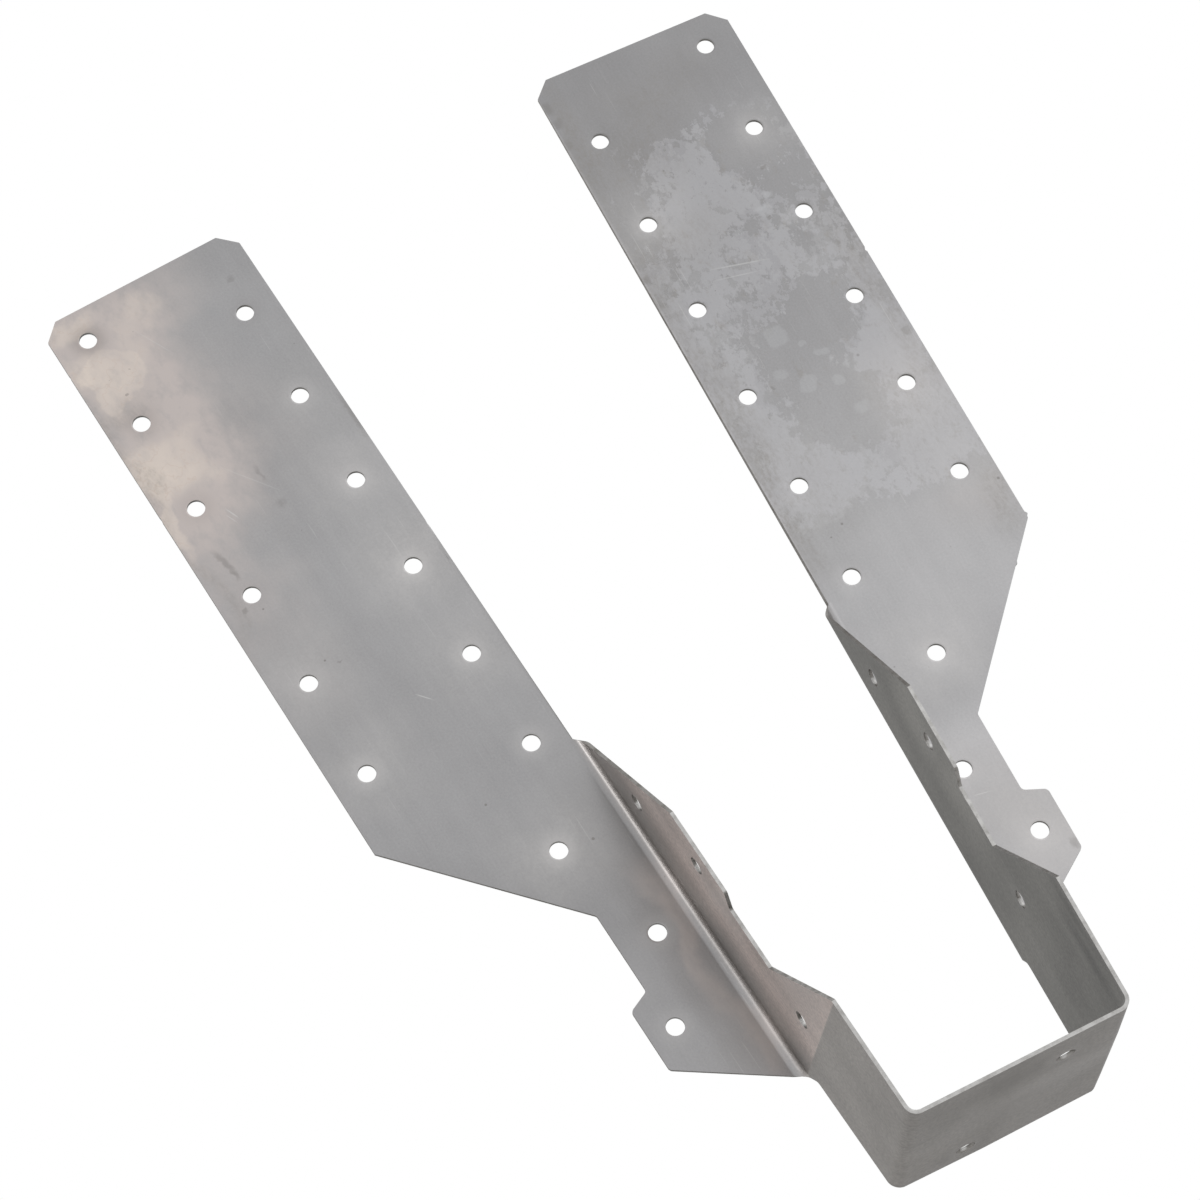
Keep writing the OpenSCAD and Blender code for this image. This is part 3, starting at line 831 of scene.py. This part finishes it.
# front face of one leg or of the strap: each has only the marks that reach it, which keeps its material small
def makeFrontSteel(groups, part):
    material, tree, shader = newMaterial("millSteel" + part.capitalize())
    place = blankPlace(tree)
    axes = addNode(tree, "ShaderNodeSeparateXYZ", {0: place}).outputs
    rims = {name: wander(tree, place, *how) for name, how in finish["rims"].items()}
    rims["sharp"] = axes
    marks = {name: gatherMarks(tree, groups["patch"], rims[rim], marksOn(part, finish[name]))
             for name, rim in finish["rimOf"].items()}
    if part == "strap":
        onWalls = ramp(tree, axes[1], legStart, legBendStart)
        colour = speckle(tree, place, strapColour(tree, axes, onWalls), onWalls)
        grain = {"Streaks": ramp(tree, onWalls, 0.0, 1.0, *finish["streaks"]),
                 "Clouds": ramp(tree, onWalls, 0.0, 1.0, *finish["clouds"])}
    else:
        colour = toneAndPaintedLightAlongBlank(tree, axes[0])
        grain = {"Streaks": finish["streaks"][0], "Clouds": finish["clouds"][0]}
    rolled = useGroup(tree, groups["rolled"], {"Place": place, **grain})
    grainColour = tinted(tree, calculate(tree, "ADD", rolled["Tone"], 1.0), finish["grainTint"])
    colour = mixColour(tree, 1.0, colour, grainColour, "MULTIPLY")
    colour = layTint(tree, place, colour, marks["warmTint"], marks["strawTint"])
    rough = calculate(tree, "ADD", rolled["Gloss"], finish["roughness"])
    if part == "right":
        colour, film = layStain(tree, place, colour, groups["stain"], marks["wet"], marks["dry"], marks["drops"])
        rough = calculate(tree, "MULTIPLY_ADD", film, finish["filmRoughness"], rough)
    colour = cover(tree, colour, "smudges", limit(tree, marks["smudges"]))
    patchy = noise(tree, place, 0.8, detail=7.0, roughness=0.75, stretch=(0.7, 1.3, 1), turn=15.0)[0]
    colour = cover(tree, colour, "grime", marks["grime"], patchy)
    # painted light, patchy
    patchy = noise(tree, place, 0.8, detail=4.0, roughness=0.7)[0]
    colour = cover(tree, colour, "rubbed", marks["rubbed"], patchy)
    colour = cover(tree, colour, "shaded", marks["shaded"])
    # painted light and shade round each hole's dish
    glow = addNode(tree, "ShaderNodeAttribute", attribute_name="paintedDishShade").outputs["Fac"]
    colour = cover(tree, colour, "lightRing", limit(tree, glow))
    colour = cover(tree, colour, "darkRing", limit(tree, calculate(tree, "MULTIPLY", glow, -1.0)))
    scratch = useGroup(tree, groups["scratch"], {"Place": place, "Turn": (0, 0, finish["scratchTurn"]),
                                                 "Least": finish["scratchLeast"]})["Mask"]
    hair = limit(tree, calculate(tree, "MULTIPLY_ADD", scratch, finish["scratchAmount"], marks["scratches"]))
    colour = cover(tree, colour, "scratches", hair)
    colour = cover(tree, colour, "specks", rolled["Specks"])
    height = calculate(tree, "MULTIPLY_ADD", hair, finish["scratchDepth"], rolled["Height"])
    joinSteel(tree, shader, colour, rough, height, finish["bumpStrength"])
    return material


backFinish = {
    "grainStart": (400, 300, 0),  # its own grain, away from the front's
    # flat sheet first, then the walls
    "streaks": (0.12, 0.17),
    "tone": (0.34, 0.235),
    "clouds": 0.64,
    "grainAmount": 0.32,
    "tint": (1.03, 1.0, 0.93),
    "scratchTurn": 0.2,
    "scratchLeast": 0.68,
    "bumpStrength": 0.3,
    # lighter and darker places, as the marks of the front
    "marks": (
        ("wallRight", 26, 82, 9, 9, 0, 0.5, 0.3),
        ("wallRight", 26, 60, 7, 9, 0, 0.8, 0.5),
        ("wallRight", 49, 14, 2.0, 9, 0, 1, -0.35),
        ("wallRight", 54, 22, 1.2, 8, 0, 1, -0.3),
        ("wallRight", 38, 24, 5, 6, 0, 1, -0.15),
    ),
    "markAmount": 0.2,
    "markRim": (2.0, 0.1),
}


def makeBackSteel(groups):
    material, tree, shader = newMaterial("millSteelBack")
    blank = blankPlace(tree)
    place = addNode(tree, "ShaderNodeMapping", {"Vector": blank, "Location": backFinish["grainStart"]}).outputs[0]
    onWalls = ramp(tree, addNode(tree, "ShaderNodeSeparateXYZ", {0: blank}).outputs[1], legStart, legBendStart)
    rolled = useGroup(tree, groups["rolled"], {
        "Place": place, "Streaks": ramp(tree, onWalls, 0.0, 1.0, *backFinish["streaks"]),
        "Clouds": backFinish["clouds"]})
    lighter = gatherMarks(tree, groups["patch"], wander(tree, blank, *backFinish["markRim"]), backFinish["marks"])
    tone = calculate(tree, "MULTIPLY_ADD", rolled["Tone"], backFinish["grainAmount"],
                     ramp(tree, onWalls, 0.0, 1.0, *backFinish["tone"]))
    tone = calculate(tree, "MULTIPLY_ADD", lighter, backFinish["markAmount"], tone)
    colour = speckle(tree, place, tinted(tree, tone, backFinish["tint"]), onWalls)
    # painted light round each hole's dish
    glow = addNode(tree, "ShaderNodeAttribute", attribute_name="paintedDishShade").outputs["Fac"]
    colour = cover(tree, colour, "backRing", limit(tree, glow))
    scratch = useGroup(tree, groups["scratch"], {"Place": place, "Turn": (0, 0, backFinish["scratchTurn"]),
                                                 "Least": backFinish["scratchLeast"]})["Mask"]
    colour = cover(tree, colour, "backScratches", scratch)
    colour = cover(tree, colour, "backSpecks", rolled["Specks"])
    rough = calculate(tree, "ADD", rolled["Gloss"], finish["roughness"])
    joinSteel(tree, shader, colour, rough, rolled["Height"], backFinish["bumpStrength"])
    return material


edgeFinish = {
    "grain": {"Scale": 320.0, "Detail": 6.0, "Roughness": 0.7},
    "burnishedAndLit": ((0.36, 0.352, 0.34, 1), (0.52, 0.515, 0.505, 1)),
    "dull": ((0.16, 0.15, 0.137, 1), (0.26, 0.25, 0.238, 1)),
    "forward": (-0.97, -0.85),  # y of the normal: edges facing forward take the light colour, partly the shear's burnish and partly a painted highlight; the others take the dull one, partly painted shade
    "metallic": 0.9,
    "roughness": (0.5, 0.3),
}


def makeShearedEdge():
    material, tree, shader = newMaterial("shearedEdge")
    place = addNode(tree, "ShaderNodeTexCoord").outputs["Object"]
    torn = addNode(tree, "ShaderNodeTexNoise", {"Vector": place, **edgeFinish["grain"]}).outputs[0]
    burnishedAndLit = mixColour(tree, ramp(tree, torn, 0.3, 0.62), *edgeFinish["burnishedAndLit"])
    dull = mixColour(tree, ramp(tree, torn, 0.35, 0.6), *edgeFinish["dull"])
    normal = addNode(tree, "ShaderNodeNewGeometry").outputs["Normal"]
    facing = addNode(tree, "ShaderNodeSeparateXYZ", {0: normal}).outputs[1]
    # painted light: bright on the edges that face forward, darker on the rest
    colour = mixColour(tree, ramp(tree, facing, *edgeFinish["forward"]), burnishedAndLit, dull)
    tree.links.new(colour, shader["Base Color"])
    shader["Metallic"].default_value = edgeFinish["metallic"]
    tree.links.new(ramp(tree, torn, 0.3, 0.7, *edgeFinish["roughness"]), shader["Roughness"])
    return material


groups = {"patch": makePatchGroup(), "rolled": makeRolledGroup(), "stain": makeStainGroup(),
          "scratch": makeScratchGroup()}
print("groups for the materials")
hanger = makeHanger([makeBackSteel(groups), makeFrontSteel(groups, "strap"), makeShearedEdge(),
                     makeFrontSteel(groups, "left"), makeFrontSteel(groups, "right")])
print("folded sheet", len(hanger.data.polygons), "faces before its edges are softened")

studio = {
    "floorSize": 6.0,
    "floorLevel": -0.001,
    "floorColour": (0.86, 0.86, 0.85, 1),
    "floorRoughness": 0.9,
    "cardSize": (0.72, 1.0),
    "cardPlace": (0.0, 0.5, 0.1),
    "cardTone": 0.4,
    "ambient": 0.55,
    "aim": (0, 0, 0.12),
    "lamps": (  # place, size, power, in m and W
        ((0.9, -1.3, 1.1), 1.0, 2.0),
        ((-1.36, -0.3, 0.66), 0.3, 3.0),
        ((0.2, 1.3, 1.2), 1.2, 1.0),
    ),
}


def hideFrom(piece, *rays):
    for ray in rays:
        setattr(piece, "visible_" + ray, False)


def makeFloor():
    bm = bmesh.new()
    half = studio["floorSize"] / 2
    bmesh.ops.create_grid(bm, x_segments=1, y_segments=1, size=half,
                          matrix=Matrix.Translation((0, 0, studio["floorLevel"])))
    material, tree, shader = newMaterial("paleFloor")
    shader["Base Color"].default_value = studio["floorColour"]
    shader["Roughness"].default_value = studio["floorRoughness"]
    clear = addNode(tree, "ShaderNodeBsdfTransparent").outputs[0]
    under = addNode(tree, "ShaderNodeNewGeometry").outputs["Backfacing"]
    pale = tree.nodes["Principled BSDF"].outputs[0]
    shown = addNode(tree, "ShaderNodeMixShader", {0: under, 1: pale, 2: clear})
    tree.links.new(shown.outputs[0], tree.nodes["Material Output"].inputs["Surface"])
    floor = placeMesh(bm, "floor", [material])
    # so that light from below still reaches the seat's underside
    hideFrom(floor, "diffuse", "glossy", "transmission", "shadow")


# grey card behind the channel: seen only in the metal, as the dull bench that such a thing lies on
def makeCard():
    bm = bmesh.new()
    bmesh.ops.create_grid(bm, x_segments=1, y_segments=1, size=0.5)
    bmesh.ops.scale(bm, vec=(*studio["cardSize"], 1.0), verts=bm.verts[:])
    bmesh.ops.rotate(bm, matrix=Matrix.Rotation(math.radians(90), 3, "X"), verts=bm.verts[:])
    bmesh.ops.translate(bm, vec=studio["cardPlace"], verts=bm.verts[:])
    material, tree, _ = newMaterial("greyCard")
    tree.nodes.remove(tree.nodes["Principled BSDF"])
    glow = addNode(tree, "ShaderNodeEmission", {"Strength": studio["cardTone"]}).outputs[0]
    tree.links.new(glow, tree.nodes["Material Output"].inputs["Surface"])
    card = placeMesh(bm, "greyCard", [material])
    hideFrom(card, "camera", "diffuse", "transmission", "shadow")


def makeLight():
    world = bpy.data.worlds.new("softRoom")
    bpy.context.scene.world = world
    world.use_nodes = True
    tree = world.node_tree
    rays = addNode(tree, "ShaderNodeLightPath").outputs
    seen = calculate(tree, "MAXIMUM", rays["Is Camera Ray"],
                     calculate(tree, "MAXIMUM", rays["Is Glossy Ray"], rays["Is Transmission Ray"]))
    strength = addNode(tree, "ShaderNodeMapRange", {"Value": seen, "To Min": studio["ambient"]}).outputs[0]
    tree.nodes["Background"].inputs["Color"].default_value = (1, 1, 1, 1)
    tree.links.new(strength, tree.nodes["Background"].inputs["Strength"])
    for i, (place, size, power) in enumerate(studio["lamps"]):
        data = bpy.data.lights.new("softLamp%d" % (i + 1), "AREA")
        data.size = size
        data.energy = power
        lamp = bpy.data.objects.new(data.name, data)
        lamp.location = place
        lamp.rotation_euler = (Vector(studio["aim"]) - lamp.location).to_track_quat("-Z", "Y").to_euler()
        bpy.context.scene.collection.objects.link(lamp)


view = {
    "sensor": 36,
    "lens": 118.103,
    "nearest": 0.05,
    "place": (-0.183819, -0.750368, -0.179456),
    "right": (0.88778995, 0.00106043, -0.46024762),
    "down": (-0.41678665, 0.42605221, -0.80297472),
    "ahead": (0.19523802, 0.90469795, 0.37868685),
}


def makeCamera():
    data = bpy.data.cameras.new("camera")
    data.sensor_width = view["sensor"]
    data.lens = view["lens"]
    data.clip_start = view["nearest"]
    camera = bpy.data.objects.new("camera", data)
    axes = (Vector(view["right"]), -Vector(view["down"]), -Vector(view["ahead"]))
    camera.matrix_world = Matrix.Translation(view["place"]) @ Matrix(axes).transposed().to_4x4()
    bpy.context.scene.collection.objects.link(camera)
    bpy.context.scene.camera = camera


makeFloor()
makeCard()
makeLight()
makeCamera()
bpy.context.scene.view_settings.view_transform = "Standard"
print("studio and camera")
